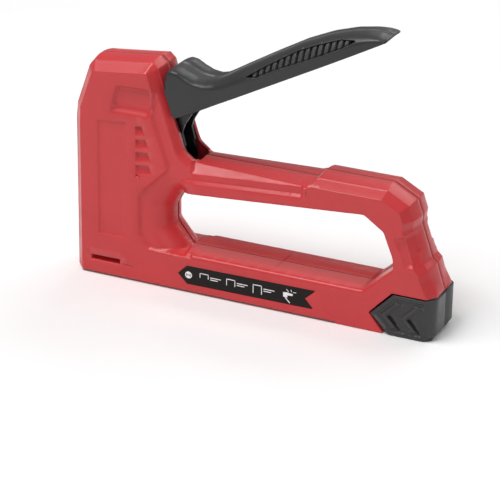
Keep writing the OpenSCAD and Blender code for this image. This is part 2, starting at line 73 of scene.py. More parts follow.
def fillet(points, radii):
    """Closed outline with each corner rounded by its own radius."""
    pts = np.array(points, float)
    n = len(pts)
    radii = [radii] * n if np.isscalar(radii) else radii
    out = []
    for i in range(n):
        a, p, b = pts[i - 1], pts[i], pts[(i + 1) % n]
        la, lb = np.linalg.norm(a - p), np.linalg.norm(b - p)
        ua, ub = (a - p) / la, (b - p) / lb
        bend = math.pi - math.acos(max(-1.0, min(1.0, float(ua @ ub))))
        cut = min(radii[i] * math.tan(bend / 2), 0.45 * la, 0.45 * lb)
        if bend < 0.04 or cut < 0.02:
            out.append(p)
            continue
        steps = max(2, int(math.ceil(bend / 0.25)))
        for k in range(steps + 1):
            t = k / steps
            out.append((1 - t) ** 2 * (p + ua * cut) + 2 * t * (1 - t) * p + t ** 2 * (p + ub * cut))
    return np.array(out)


def sampled(line, step, closed=True):
    """Points along a polyline with its own corners, no further apart than step, and their left normals."""
    pts, normals = [], []
    n = len(line)
    for i in range(n if closed else n - 1):
        a, b = line[i], line[(i + 1) % n]
        length = np.linalg.norm(b - a)
        if length < 1e-9:
            continue
        u = (b - a) / length
        count = max(1, int(math.ceil(length / step)))
        for k in range(count):
            pts.append(a + (b - a) * k / count)
            normals.append((-u[1], u[0]))
    if not closed:
        pts.append(line[-1])
        normals.append(normals[-1])
    return np.array(pts), np.array(normals)


def distance(p, line, closed=True):
    """Distance from each point to a polyline."""
    a = np.array(line, float)
    b = np.roll(a, -1, axis=0) if closed else a[1:]
    a = a if closed else a[:-1]
    best = np.full(len(p), 1e9)
    for s, e in zip(a, b):
        d = e - s
        q = float(d @ d)
        if q < 1e-12:
            continue
        t = np.clip(((p - s) @ d) / q, 0, 1)
        best = np.minimum(best, np.hypot(*(p - s - t[:, None] * d).T))
    return best


def inside(p, line):
    """Whether each point lies within a closed outline."""
    a = np.array(line, float)
    b = np.roll(a, -1, axis=0)
    result = np.zeros(len(p), bool)
    for s, e in zip(a, b):
        crossing = (s[1] > p[:, 1]) != (e[1] > p[:, 1])
        if abs(e[1] - s[1]) > 1e-12:
            x = s[0] + (p[:, 1] - s[1]) * (e[0] - s[0]) / (e[1] - s[1])
            result ^= crossing & (p[:, 0] < x)
    return result


def stretch(outline, start, end):
    """The part of a closed outline from its point nearest start on to its point nearest end."""
    i = int(np.argmin(np.hypot(*(outline - np.array(start)).T)))
    j = int(np.argmin(np.hypot(*(outline - np.array(end)).T)))
    last = j + len(outline) if j < i else j
    return np.array([outline[k % len(outline)] for k in range(i, last + 1)])


def disc(x, z, r, count=28):
    return [(x + r * math.cos(2 * math.pi * i / count), z + r * math.sin(2 * math.pi * i / count))
            for i in range(count)]


def ramp(v):
    """Held between 0 and 1."""
    return np.clip(v, 0, 1)


def smooth(v):
    """The same with its ends eased."""
    v = ramp(v)
    return v * v * (3 - 2 * v)


def signed(p, line):
    """Distance to a closed outline, positive within it."""
    d = distance(p, line)
    return np.where(inside(p, line), d, -d)


def rows(line, offsets, step, closed=True):
    """Points in rows beside a line, each row at its offset to the left, without those that crowd a side."""
    base, normal = sampled(np.array(line, float), step, closed)
    found = []
    for d in offsets:
        p = base + normal * d
        if abs(d) > 1e-6:
            p = p[distance(p, line, closed) > abs(d) - 0.02]
        found.append(p)
    return np.concatenate(found)


# ---------------------------------------------------------------- relief meshes

EDGE_STEP = 0.9           # spacing of the points along an edge, and of the rows beside the outline
HOLE_STEP = 0.8           # spacing of the rows beside a hole
ROW_CLEARANCE = 0.015     # least distance from an edge for a point of a row
FILL_CLEARANCE = 0.5      # the same for a point of the fill
CROWDING = 0.45           # how near a row the fill may come, in parts of its own spacing
MERGE = 0.02              # points of the rows in one square of this size are one
SLIVER = 1e-3             # least value of twice its area for a triangle on an edge
ON_EDGE = 1e-3            # how near an edge a point is on it
TINY = 1e-12              # keeps a length from being nought
RUNGS = 5                 # steps of a wall that swells out
GROOVE_WIDTH = 0.7        # how far the faces of the parting groove turn in
GROOVE_DEPTH = 0.3
INNERMOST = 0.04          # least distance of the inner skin from the seam plane
GROUND = 0.35             # and of the outer skin
ROW_HEIGHT = 0.866        # height of a row of equal triangles, in parts of their side


def triangular(xs, zs, shift):
    """Points in rows, every second row shifted along."""
    return np.array([(x + (shift if k % 2 else 0), z) for k, z in enumerate(zs) for x in xs])


def loop_edges(start, count):
    """The edges of a closed line of count points that starts at index start."""
    return [(start + i, start + (i + 1) % count) for i in range(count)]


def scatter(outline, holes, features, fill, edge_rows):
    """The points of a relief and its edges: both edges' points, the rows, and a fill between them."""
    sets, edges = [], []
    for line in [outline] + holes:
        p, _ = sampled(line, EDGE_STEP)
        edges += loop_edges(sum(len(s) for s in sets), len(p))
        sets.append(p)
    inner = [rows(outline, edge_rows[0], EDGE_STEP)]
    inner += [rows(hole, [-d for d in edge_rows[1]], HOLE_STEP) for hole in holes]
    inner = np.concatenate(inner + features)
    lo, hi = outline.min(0), outline.max(0)
    grid = triangular(np.arange(lo[0], hi[0], fill), np.arange(lo[1], hi[1], fill * ROW_HEIGHT), 0.5 * fill)
    ok = inside(inner, outline) & (distance(inner, outline) > ROW_CLEARANCE)
    ok_grid = inside(grid, outline) & (distance(grid, outline) > FILL_CLEARANCE)
    for hole in holes:
        ok &= ~inside(inner, hole) & (distance(inner, hole) > ROW_CLEARANCE)
        ok_grid &= ~inside(grid, hole) & (distance(grid, hole) > FILL_CLEARANCE)
    inner, grid = inner[ok], grid[ok_grid]
    # a fill point that crowds a row is left out
    cell = fill * CROWDING
    taken = {(int(x // cell), int(z // cell)) for x, z in inner}
    grid = np.array([g for g in grid if not any(
        (int(g[0] // cell) + i, int(g[1] // cell) + j) in taken for i in (-1, 0, 1) for j in (-1, 0, 1))]
        or np.zeros((0, 2))).reshape(-1, 2)
    # points that coincide are merged
    inner = inner[np.unique(np.round(inner / MERGE).astype(int), axis=0, return_index=True)[1]]
    return np.concatenate(sets + [inner, grid]), edges


def triangulate(points, edges, outline, holes):
    """The triangles between points that lie within the outline and outside the holes, all anticlockwise."""
    verts, _, faces, _, _, _ = delaunay_2d_cdt([Vector(p) for p in points], edges, [], 0, 1e-5)
    v = np.array([tuple(q) for q in verts])
    f = np.array(faces)
    centre = v[f].mean(1)
    keep = inside(centre, outline)
    for hole in holes:
        keep &= ~inside(centre, hole)
    f = f[keep]
    one, two = v[f[:, 1]] - v[f[:, 0]], v[f[:, 2]] - v[f[:, 0]]
    turn = one[:, 0] * two[:, 1] - one[:, 1] * two[:, 0]
    if turn.sum() < 0:
        f = f[:, ::-1]
    # a sliver between points in line along an edge is left out
    edge_distance = np.min([distance(v, line) for line in [outline] + holes], axis=0)
    f = f[(np.abs(turn) > SLIVER) | (edge_distance[f] > ON_EDGE).any(1)]
    used, f = np.unique(f, return_inverse=True)
    return v[used], f.reshape(-1, 3)


def open_border(faces):
    """The edges that only one triangle has."""
    count = {}
    for q in faces:
        for i in range(3):
            e = (q[i], q[(i + 1) % 3])
            if (e[1], e[0]) in count:
                count[(e[1], e[0])] = 0
            else:
                count[e] = 1
    return [e for e, c in count.items() if c]


def relief(name, outline, holes, height, features, fill, edge_rows, has_wall, thick, mark=None,
           seam=lambda v: np.full(len(v), 0.02), draw=lambda v: np.zeros((len(v), 2))):
    """One side of a moulding: a skin at height(points) from the seam plane, with an inner skin.

    Points lie in rows along the outline and the features. Where has_wall says so, the skin's edge is
    carried down to the level that seam gives and turned in, which makes the fine parting groove.
    Elsewhere the edge shows the wall's thickness. draw is how far the skin is shifted in from the
    outline; the wall swells back out to the outline at the seam. mark gives a face its material index;
    the groove has index 1, a darker material that paints shade into the groove.
    """
    points, edges = scatter(outline, holes, features, fill, edge_rows)
    v, f = triangulate(points, edges, outline, holes)
    y = height(v)
    material = list(mark(v[f].mean(1))) if mark is not None else [0] * len(f)
    faces = [tuple(q) for q in f]
    co = [(p[0], h, p[1]) for p, h in zip(v, y)]
    border = open_border(faces)
    walled = has_wall(v)
    level = seam(v)
    inward = np.zeros((len(v), 2))
    for a, b in border:
        d = v[b] - v[a]
        n = np.array((-d[1], d[0])) / (np.linalg.norm(d) + TINY)
        inward[a] += n
        inward[b] += n
    shift = draw(v)
    drawn = np.hypot(*shift.T) > 0.01
    for i in np.flatnonzero(drawn):
        co[i] = (v[i][0] + shift[i][0], y[i], v[i][1] + shift[i][1])
    # the wall down to the seam: each vertex of the border has a ladder of them below it
    ladder, low, turned, plain = {}, {}, {}, []
    for a, b in border:
        if not (walled[a] and walled[b]):
            plain.append((a, b))
            continue
        for q in (a, b):
            if q in low:
                continue
            n = inward[q] / (np.linalg.norm(inward[q]) + TINY)
            ladder[q] = [q]
            if y[q] > level[q] + GROOVE_DEPTH:
                rungs = RUNGS if drawn[q] else 1
                for k in range(1, rungs + 1):
                    h = y[q] + (level[q] - y[q]) * k / rungs
                    keep_in = (h - level[q]) ** 2 / (y[q] - level[q]) ** 2
                    ladder[q].append(len(co))
                    co.append((v[q][0] + keep_in * shift[q][0], h, v[q][1] + keep_in * shift[q][1]))
            low[q] = ladder[q][-1]
            turned[q] = len(co)
            groove = max(level[q] - GROOVE_DEPTH, 0.3 * level[q])
            co.append((v[q][0] + GROOVE_WIDTH * n[0], groove, v[q][1] + GROOVE_WIDTH * n[1]))
        for k in range(max(len(ladder[a]), len(ladder[b])) - 1):
            ka, kb = (min(k, len(ladder[e]) - 1) for e in (a, b))
            na, nb = (min(k + 1, len(ladder[e]) - 1) for e in (a, b))
            ring = [ladder[b][kb], ladder[a][ka], ladder[a][na], ladder[b][nb]]
            ring = [e for i, e in enumerate(ring) if e != ring[i - 1]]
            faces.append(tuple(ring))
            material.append(0)
        # the turned-in groove faces take index 1, whose dark red is painted shade
        faces.append((low[b], low[a], turned[a], turned[b]))
        material.append(1)
    # the inner skin
    rim_distance = np.min([distance(v, line) for line in [outline] + holes], axis=0)
    open_edge = ~walled | (rim_distance > thick)
    depth = np.where(open_edge, y - thick, (y - thick) * ramp(rim_distance / thick))
    start = len(co)
    co += [(p[0], max(h, INNERMOST), p[1]) for p, h in zip(v + shift, depth)]
    under = {i: turned.get(i, start + i) for i in range(len(v))}
    faces += [(under[q[2]], under[q[1]], under[q[0]]) for q in f]
    material += [0] * len(f)
    for a, b in plain:
        faces.append((b, a, under[a], under[b]))
        material.append(0)
    return name, np.array(co), faces, material


def build(form, side, materials):
    """Makes one relief's object, on the right (1) or the left (-1)."""
    name, co, faces, material = form
    co = co * (1, side, 1) * MM + (NOSE, 0, 0)
    if side > 0:
        faces = [q[::-1] for q in faces]
    mesh = bpy.data.meshes.new(name)
    mesh.from_pydata([tuple(c) for c in co], [], faces)
    for m in materials:
        mesh.materials.append(m)
    for p, m in zip(mesh.polygons, material):
        p.material_index = int(m)
        p.use_smooth = True
    mesh.validate()
    obj = bpy.data.objects.new(name, mesh)
    scene.collection.objects.link(obj)
    return obj


# ---------------------------------------------------------------- materials

def principled(name, color, rough, metallic=0.0, specular=0.5):
    m = bpy.data.materials.new(name)
    m.use_nodes = True
    tree = m.node_tree
    b = tree.nodes["Principled BSDF"]
    b.inputs["Base Color"].default_value = (*color, 1)
    b.inputs["Roughness"].default_value = rough
    b.inputs["Metallic"].default_value = metallic
    b.inputs["Specular IOR Level"].default_value = specular
    return m, tree, b


def noise(tree, scale, detail=3.0, squeeze=None, rough=0.5):
    """A noise in object space; its features are about 1 / scale metres."""
    coord = tree.nodes.new("ShaderNodeTexCoord")
    n = tree.nodes.new("ShaderNodeTexNoise")
    n.inputs["Scale"].default_value = scale
    n.inputs["Detail"].default_value = detail
    n.inputs["Roughness"].default_value = rough
    source = coord.outputs["Object"]
    if squeeze:
        mapping = tree.nodes.new("ShaderNodeMapping")
        mapping.inputs["Scale"].default_value = squeeze
        tree.links.new(source, mapping.inputs["Vector"])
        source = mapping.outputs["Vector"]
    tree.links.new(source, n.inputs["Vector"])
    return n.outputs["Fac"]


def spread(tree, value, low, high, a=0.3, b=0.7):
    """The value's range from a to b, spread from low to high."""
    m = tree.nodes.new("ShaderNodeMapRange")
    m.inputs["From Min"].default_value = a
    m.inputs["From Max"].default_value = b
    m.inputs["To Min"].default_value = low
    m.inputs["To Max"].default_value = high
    tree.links.new(value, m.inputs["Value"])
    return m.outputs["Result"]


def mix(tree, factor, one, two):
    """From the color one at factor 0 to two at 1; each is a tuple or an output."""
    m = tree.nodes.new("ShaderNodeMix")
    m.data_type = "RGBA"
    for socket, c in ((m.inputs[6], one), (m.inputs[7], two)):
        if isinstance(c, tuple):
            socket.default_value = (*c, 1)
        else:
            tree.links.new(c, socket)
    tree.links.new(factor, m.inputs[0])
    return m.outputs[2]


def bump(tree, b, value, strength, depth):
    n = tree.nodes.new("ShaderNodeBump")
    n.inputs["Strength"].default_value = strength
    n.inputs["Distance"].default_value = depth
    tree.links.new(value, n.inputs["Height"])
    tree.links.new(n.outputs["Normal"], b.inputs["Normal"])


def edge_wear(tree, low=0.53, high=0.62):
    """1 on sharp outer edges, 0 elsewhere."""
    g = tree.nodes.new("ShaderNodeNewGeometry")
    return spread(tree, g.outputs["Pointiness"], 0.0, 1.0, low, high)


def plastic(name, color, worn, rough, grain=0.12):
    m, tree, b = principled(name, color, rough)
    patch = spread(tree, noise(tree, 45, 4), 0.0, 1.0)
    base = mix(tree, patch, tuple(c * 0.95 for c in color), tuple(min(1, c * 1.04) for c in color))
    base = mix(tree, edge_wear(tree), base, worn)
    tree.links.new(base, b.inputs["Base Color"])
    tree.links.new(spread(tree, noise(tree, 160, 5), rough - 0.05, rough + 0.07), b.inputs["Roughness"])
    bump(tree, b, noise(tree, 3200, 2), grain, 0.00006)
    return m


def metal(name, color, rough, squeeze, scratch=0.25):
    m, tree, b = principled(name, color, rough, metallic=1.0)
    streak = noise(tree, 60, 6, squeeze, 0.6)
    tree.links.new(spread(tree, streak, rough - 0.08, rough + 0.12), b.inputs["Roughness"])
    base = mix(tree, spread(tree, noise(tree, 70, 5), 0.0, 1.0), tuple(c * 0.86 for c in color), color)
    tree.links.new(base, b.inputs["Base Color"])
    bump(tree, b, streak, scratch, 0.00003)
    return m


RED = plastic("red_plastic", (0.56, 0.033, 0.038), (0.72, 0.12, 0.12), 0.34)
# painted shade: this dark red on the faces of the parting groove stands in for the shade within it
GROOVE_SHADE = plastic("parting_groove_shade", (0.10, 0.006, 0.008), (0.2, 0.02, 0.02), 0.6)
GREY = plastic("grey_plastic", (0.021, 0.021, 0.0225), (0.06, 0.06, 0.06), 0.42, 0.3)
CAP = plastic("cap_plastic", (0.026, 0.026, 0.0275), (0.07, 0.07, 0.07), 0.40, 0.2)
PAD = plastic("grip_pad", (0.040, 0.040, 0.042), (0.10, 0.10, 0.10), 0.50, 0.4)
# painted shade: near-black on the floors between the grip's ribs stands in for the shade of their depth
GAP_SHADE = plastic("grip_gap_shade", (0.008, 0.008, 0.008), (0.02, 0.02, 0.02), 0.6, 0.3)
RUBBER = plastic("bumper_rubber", (0.012, 0.012, 0.012), (0.03, 0.03, 0.03), 0.75, 0.4)
SHEET = metal("sheet_steel", (0.46, 0.47, 0.49), 0.34, (1, 1, 14))
BRIGHT = metal("plated_steel", (0.70, 0.71, 0.73), 0.22, (14, 1, 1))
SPRING = metal("spring_steel", (0.20, 0.20, 0.21), 0.30, (1, 1, 1), 0.1)
BLACKENED = metal("blackened_steel", (0.06, 0.06, 0.065), 0.42, (1, 1, 10))
LABEL, _, _ = principled("label_film", (0.005, 0.003, 0.003), 0.42, specular=0.25)
INK, _, _ = principled("label_ink", (0.86, 0.86, 0.86), 0.45)

# the CAD parts that are shown as they are, and what each is made of
MATERIAL_OF = {
    "nose_plate": BRIGHT, "drive_guide": SHEET, "bumper": RUBBER, "spring_seat": GREY, "striker": SHEET,
    "driver_blade": BRIGHT, "blade_rivets": BRIGHT, "lever_frame": BLACKENED, "lever_rivets": BRIGHT,
    "lift_roller": BRIGHT, "lever_pin": BRIGHT, "pin_clips": SPRING, "magazine_channel": SHEET,
    "frame_pins": BRIGHT, "latch_pin": BRIGHT, "shell_screws": SPRING, "magazine_rail": BRIGHT,
    "pusher_rod": BRIGHT, "rail_rivets": BRIGHT, "latch_spring": SPRING, "pusher": GREY,
}
for n, m in MATERIAL_OF.items():
    nodes[n].data.materials.clear()
    nodes[n].data.materials.append(m)


# ---------------------------------------------------------------- the two shells

BODY = fillet([
    (0, 0.8), (133.5, 0.8), (135.5, 0), (157, 0), (149.8, 8.9), (160.7, 20.3), (180.6, 20.3), (176.4, 33.2),
    (173.9, 35.6), (168.4, 51.1), (168.8, 54.6), (166.1, 61.9), (155, 67.9), (122.3, 67.9), (118.6, 64),
    (61.5, 64), (56.4, 67.8), (52.2, 80.5), (46, 98.5), (43.6, 105.6), (40.2, 108.4), (9.5, 105.2),
    (6.5, 101.6), (0, 82.7),
], [0.5, 0, 0.3, 0.4, 0.5, 0.7, 0.6, 1, 1.5, 1.5, 1, 1.2, 1.5, 0.8, 0.6, 2, 5, 5, 5, 2, 1.6, 1.2, 1.5, 3])
HARD = stretch(BODY, (0, 0.8), (180.6, 20.3))
STEP = 118.5              # where the handle's top steps up
REAR_SOFT = np.vstack([stretch(BODY, (180.6, 20.3), (122.3, 67.9)), [(110, 67.9)]])
FRONT_SOFT = np.vstack([[(130, 64)], stretch(BODY, (118.6, 64), (0, 0.8))])
DRAW = 1.2                # how far the skin is drawn in at the edge
DRAW_REACH = 8.0          # how far inwards that fades
LOOP = fillet([
    (57, 18.9), (146.5, 18.9), (160.4, 31.6), (160, 36.6), (155.2, 48.4), (145.8, 54.8), (60, 48.6),
    (52.4, 45.4), (48.3, 38), (48.3, 29.4),
], [3, 2, 1.2, 3, 2.5, 2.5, 3, 3, 3, 3])
LOOP_FRONT = stretch(LOOP, (54, 46.1), (57, 18.9))
PANEL = fillet([(13.8, 20.8), (28.2, 20.8), (29, 78.4), (13.8, 77.2)], 0.5)
TOP_POCKET = fillet([(19.8, 82), (40.1, 82), (42, 84.6), (41, 95.8), (23.6, 95.6)], 0.8)
ROOT = fillet([
    (40.7, 83.2), (49.2, 58.9), (34.2, 44.4), (34.4, 23.4), (39.4, 17.2), (62, 17.2), (62, 40), (57, 52),
    (54.3, 53.6), (116.6, 58.2), (117, 66), (80, 70), (62, 72), (52, 100), (44, 104),
], [1, 3, 3, 3, 2, 0.5, 0.5, 2, 0.5, 0.5, 0.5, 1, 1, 1, 1])
LOUVRES = [fillet([
    (33, top - 4.6), (reach, top - 3.9), (reach - 1.7, top + 0.8), (33.4, top)
], 0.5) for top, reach in ((77.2, 38.2), (70.9, 40.2), (64.7, 41.2), (58.4, 41.9))]
LOUVRES.append(fillet([(33.2, 52), (36.2, 52.8), (33.4, 54.6)], 0.3))
NOSE_SLOT = fillet([(9.8, 7), (24.8, 7), (24.8, 9.5), (9.8, 9.4)], 0.3)
NOSE_LINE = fillet([(24.8, 7), (31.8, 7), (31.8, 7.6), (24.8, 7.6)], 0.1)
POST_POCKET = fillet([
    (160.6, 46.6), (163.8, 47.8), (169.6, 49.6), (173.6, 38), (171.9, 34), (165.6, 34), (165.4, 36.4)
], 0.8)
LABEL_EDGE = fillet([
    (54.9, 8.9), (59.7, 4.2), (123.6, 4.6), (119.4, 9.3), (124.6, 14.1), (59.7, 13.6)
], 0.35)
OPENING = [(62.6, 61.8), (62.6, 80), (54, 87.5), (47.2, 85.6), (49.3, 79.5), (53.8, 65.9), (59.3, 61.8)]
FACET = [(60.9, 58.9), (118.4, 63.4)]
HEEL_LINE = [(126.5, 9.8), (133.6, 0.9)]
SCREWS = [(157, 58), (84, 56.6), (32.5, 27), (33.5, 97), (168.5, 27.5)]
SCREW_BORE = 3.0          # radius of a screw's counterbore
BORE_DEPTH = 3.2
SHELL_THICK = 2.1         # thickness of the wall
SHELL_FILL = 2.4          # spacing of the points that fill the side
SHELL_ROWS = (            # distances of the rows of points from the outline, and from the finger loop
    [0.05, 0.15, 0.38, 0.6, 1.6, 2.6, 3.4, 3.58, 3.72, 3.9, 4.45, 4.63, 4.77, 4.95],
    [0.04, 0.12, 0.3, 0.6, 0.95, 1.35, 2.05, 2.4],
)
SOFT_START = 9.1          # height of the chamfer's foot from the seam
SOFT_RISE = 4.9           # from there up to the side
SOFT_RIM = 0.4            # radius at its foot
REAR_CHAMFER = 3.25       # its width behind the step
FRONT_CHAMFER = 4.3       # and in front of it
ROLL_REACH = 13.6         # width of the roll in front of the finger loop


def circle(d, r):
    """Height lost to an edge rounding of radius r at a distance d from the edge."""
    return r * (1 - np.sqrt(1 - (1 - ramp(d / r)) ** 2))


def facet_edge(x):
    """The lower edge of the facet on the handle's top."""
    return np.interp(x, [FACET[0][0], FACET[1][0]], [FACET[0][1], FACET[1][1]])


def recess(p, shape, depth, bevel):
    """Depth of a recess whose sides slope down over the width bevel."""
    return depth * ramp(signed(p, shape) / bevel)


def shell_depth(p):
    """How deep all the recesses of the side are, and the one that ROOT bounds alone."""
    x, z = p[:, 0], p[:, 1]
    root = recess(p, ROOT, 1.6, 1.3)
    deep = np.maximum(root, recess(p, PANEL, 0.7, 0.45))
    deep = np.maximum(deep, recess(p, TOP_POCKET, 2.0, np.where(z < 86, 2.5, 1.2)))
    for shape in LOUVRES:
        # a louvre is deepest at its upper edge
        low, high = shape[:, 1].min() - 0.6, shape[:, 1].max()
        deep = np.maximum(deep, recess(p, shape, 2.0, 0.4) * ramp((z - low) / (high - low)))
    deep = np.maximum(deep, recess(p, NOSE_SLOT, 5.0, 0.3))
    deep = np.maximum(deep, recess(p, NOSE_LINE, 0.6, 0.2))
    deep = np.maximum(deep, recess(p, LABEL_EDGE, 0.2, 0.15))
    # the rear of the lower bar lies a little lower than the rest
    (x0, z0), (x1, z1) = HEEL_LINE
    past = ((x - x0) * (z0 - z1) + (z - z0) * (x1 - x0)) / math.hypot(x1 - x0, z1 - z0)
    deep = deep + 0.35 * ramp(past + 0.5) * smooth((14.5 - z) / 4) * smooth((x - 120) / 4)
    return deep, root


def soft_distance(p):
    """Distance from the rounded edges behind or in front of the step."""
    return np.where(p[:, 0] > STEP, distance(p, REAR_SOFT, False), distance(p, FRONT_SOFT, False))


def shell_height(p):
    """Height of a shell's side above the seam plane."""
    x, z = p[:, 0], p[:, 1]
    deep, root = shell_depth(p)
    post = recess(p, POST_POCKET, 1.8, np.where(z > 41, 0.7, 2.0))
    ds = soft_distance(p)
    width = np.where(x > STEP, REAR_CHAMFER, FRONT_CHAMFER)
    soft = SOFT_START - circle(ds, SOFT_RIM) + SOFT_RISE * np.maximum(ds - SOFT_RIM, 0) / width
    on_handle = (x > 61) & (x < STEP) & (z > 45)
    facet = HALF - root - 0.98 * np.maximum(z - facet_edge(x), 0) - circle(ds, 0.5)
    soft = np.where(on_handle, facet, soft)
    y = np.minimum(np.minimum(soft, HALF) - post, HALF - deep)
    y = np.minimum(y, HALF - circle(distance(p, HARD, False), 0.5))
    crown = HALF - np.minimum(deep, 1.3)
    y = np.minimum(y, crown - circle(distance(p, LOOP), np.where(z < 24, 2.0, 1.3)))
    # a broad roll leads to the front of the finger loop and ends on the lower bar
    roll = ramp((z - 17.5) / 1.2) * np.where(z < 24, ramp((59 - x) / 2.2), 1.0)
    reach = np.minimum(ROLL_REACH, crown - 0.4)
    y = np.minimum(y, crown - roll * circle(distance(p, LOOP_FRONT, False), reach))
    return np.maximum(y, GROUND)


def right_height(p):
    """The right-hand side has the screws' counterbores as well."""
    away = np.min([np.hypot(p[:, 0] - x, p[:, 1] - z) for x, z in SCREWS], axis=0)
    return np.minimum(shell_height(p), HALF - BORE_DEPTH * ramp((SCREW_BORE - away) / 0.12))


def shell_features():
    """Rows of points beside each edge within the side."""
    found = [
        rows(PANEL, [-0.12, 0.02, 0.4, 0.6], 0.9),
        rows(TOP_POCKET, [-0.1, 0.05, 1.15, 1.3, 2.4, 2.6], 0.8),
        rows(ROOT, [-0.08, 0.05, 1.25, 1.38], 0.8),
        rows(NOSE_SLOT, [-0.12, 0.02, 0.28, 0.45], 0.6),
        rows(NOSE_LINE, [-0.08, 0.02, 0.2], 0.6),
        rows(POST_POCKET, [-0.1, 0.05, 0.65, 0.8, 1.9, 2.1], 0.7),
        rows(LABEL_EDGE, [-0.1, 0.02, 0.15, 0.3], 0.9),
        rows(np.array(FACET), [-0.2, 0.2], 0.9, False),
        rows(np.array(HEEL_LINE), [-0.55, 0.55], 0.8, False),
        rows(np.array([(STEP, 59), (STEP, 64.2)]), [-0.05, 0.05], 0.4, False),
        rows(np.array([(118.8, 63.6), (126, 63.6)]), [-0.06, 0.06], 0.6, False),
        rows(np.array([(43, 17.5), (59, 17.5)]), [-0.08, 0.08, 1.1, 1.3], 0.7, False),
        rows(np.array([(59, 17.4), (59, 18.8)]), [-0.1, 0.1, 1.1, 2.1, 2.3], 0.5, False),
    ]
    found += [rows(shape, [-0.08, 0.03, 0.38, 0.5], 0.5) for shape in LOUVRES]
    # the broad roll in front of the finger loop needs a finer net
    net = triangular(np.arange(33, 60, 0.9), np.arange(16, 60, 0.9), 0.45)
    found.append(net[distance(net, LOOP_FRONT, False) < 14])
    return found


def shell_seam(v):
    """Where the wall stops short of the middle: round the steel channel below and the rail behind."""
    x, z = v[:, 0], v[:, 1]
    level = np.full(len(v), 0.27)
    level[(z < 1.2) & (x > 3) & (x < 139)] = 7.7
    level[(z > 0.9) & (z < 11.5) & (x > 148) & (x < 158)] = 5.5
    return level


def shell_draw(v):
    """How far the skin is drawn in beside the rounded edges: little in front, and not beside the cap."""
    x, z = v[:, 0], v[:, 1]
    reached = soft_distance(v)
    beside = np.flatnonzero(reached < DRAW_REACH)
    both = [sampled(line, 0.5, False) for line in (REAR_SOFT, FRONT_SOFT)]
    base, normal = (np.vstack(q) for q in zip(*both))
    away = np.hypot(*(base[None] - v[beside][:, None]).transpose(2, 0, 1))
    weight = np.exp((away.min(1)[:, None] - away) / 1.2)
    shift = np.zeros((len(v), 2))
    shift[beside] = (weight @ normal) / weight.sum(1)[:, None]
    fade = np.where(x > 150, smooth((z - 21) / 8), 1.0)
    fade = fade * np.where(x < 20, 0.35 + 0.65 * smooth((z - 74) / 10), 1.0)
    return shift * (DRAW * fade * (1 - ramp(reached / DRAW_REACH)))[:, None]


screw_rings = [rows(np.array(disc(x, z, SCREW_BORE)), [-0.1, 0.02, 0.14, 0.4], 0.6) for x, z in SCREWS]
for side, name, node, height, extra in (
    (-1, "left_body_shell", "left_shell", shell_height, []),
    (1, "right_body_shell", "right_shell", right_height, screw_rings),
):
    form = relief(
        name, BODY, [LOOP], height, shell_features() + extra, SHELL_FILL, SHELL_ROWS,
        lambda v: ~inside(v, OPENING), SHELL_THICK, seam=shell_seam, draw=shell_draw,
    )
    piece = build(form, side, [RED, GROOVE_SHADE])
    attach(piece, "root")
    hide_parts(node)


# ---------------------------------------------------------------- the moulded lever

LEVER = fillet([
    (51.2, 82.9), (56.6, 85.3), (64.2, 88.9), (151.0, 133.3), (151.8, 134.4), (147.5, 135.7), (141.5, 135.6),
    (133.3, 134.4), (122.5, 131.2), (110.3, 125.9), (96, 118), (82, 109.9), (75.8, 106.2), (70.8, 103.3),
    (66, 101.9), (61.1, 102.3), (56.6, 104.1), (53.2, 105.7), (50.2, 106.3), (47.7, 105), (46.4, 101.3),
    (46.1, 97.6),
], [0.4, 3, 5, 0.4, 0.6, 6, 10, 14, 20, 20, 20, 14, 10, 6, 5, 5, 6, 4, 3, 2, 2, 0.4])
LEVER_TOP = stretch(LEVER, (151.4, 133.6), (46.1, 97.6))
LEVER_OPEN = stretch(LEVER, (46.1, 97.6), (151.0, 133.3))
WINDOW = fillet([
    (86.2, 108.2), (91.8, 109), (99.2, 113.1), (105.8, 116.2), (112.4, 119.2), (121.7, 123.6), (130.9, 128.1),
    (139.4, 133.2), (130.6, 132), (120.2, 128.2), (110.8, 124), (101.7, 118.6), (92.5, 112.7)
], [0.4, 3, 6, 6, 6, 6, 2, 0.8, 4, 8, 8, 8, 6])
SHOULDER = [
    (46, 97), (46.5, 100.5), (48, 103.4), (50.2, 104.6), (53, 104.2), (57, 101.8), (61, 100.1), (65.5, 99.4),
    (70, 99.4), (75, 100.4), (84, 104.5), (94, 109.3), (108, 115.8), (122, 122.8), (134.5, 129.1), (144, 133),
    (151.8, 134.2)
]
RIBS = [91.0 + 3.05 * i for i in range(15)]


def rib(x):
    """1 on the ribs of the window, 0 between them."""
    return np.max([ramp((0.92 - np.abs(x - r)) / 0.14) for r in RIBS], axis=0)


def lever_mark(c):
    """Material of each face: the ribs in the window are the grip pad, and the gaps between them take a
    near-black material, painted shade for their depth.
    """
    return np.where(inside(c, WINDOW), np.where(rib(c[:, 0]) > 0.4, 2, 3), 0)


def lever_height(p):
    """Height of the lever's side above the seam plane."""
    x, z = p[:, 0], p[:, 1]
    wide = 12 * np.sqrt(1 - 0.5 * ramp((x - 116) / 38) ** 2)
    # a soft waist behind the thumb rest
    wide = wide - 0.5 * smooth(1 - np.abs(x - 70) / 13)
    # above the shoulder the flank leans in to a narrow crown
    crest = LEVER_TOP[LEVER_TOP[:, 0].argsort()]
    top = np.interp(x, crest[:, 0], crest[:, 1])
    shoulder = np.minimum(np.interp(x, *np.array(SHOULDER).T), top - 0.4)
    t = ramp((z - shoulder) / (top - shoulder))
    crown = wide * np.interp(x, [50, 58, 66, 80, 150], [0.55, 0.52, 0.46, 0.36, 0.2])
    y = crown + (wide - crown) * (1 - t ** 2.1) ** (1 / 2.1)
    y = np.minimum(y, wide - circle(distance(p, LEVER_TOP, False), 2.4))
    y = np.minimum(y, wide - circle(distance(p, LEVER_OPEN, False), 0.7))
    d = signed(p, WINDOW)
    deep = 2.8 * ramp(d / 0.3) - 2.2 * rib(x) * ramp((d - 0.2) / 0.3)
    return np.maximum(y - deep, GROUND)


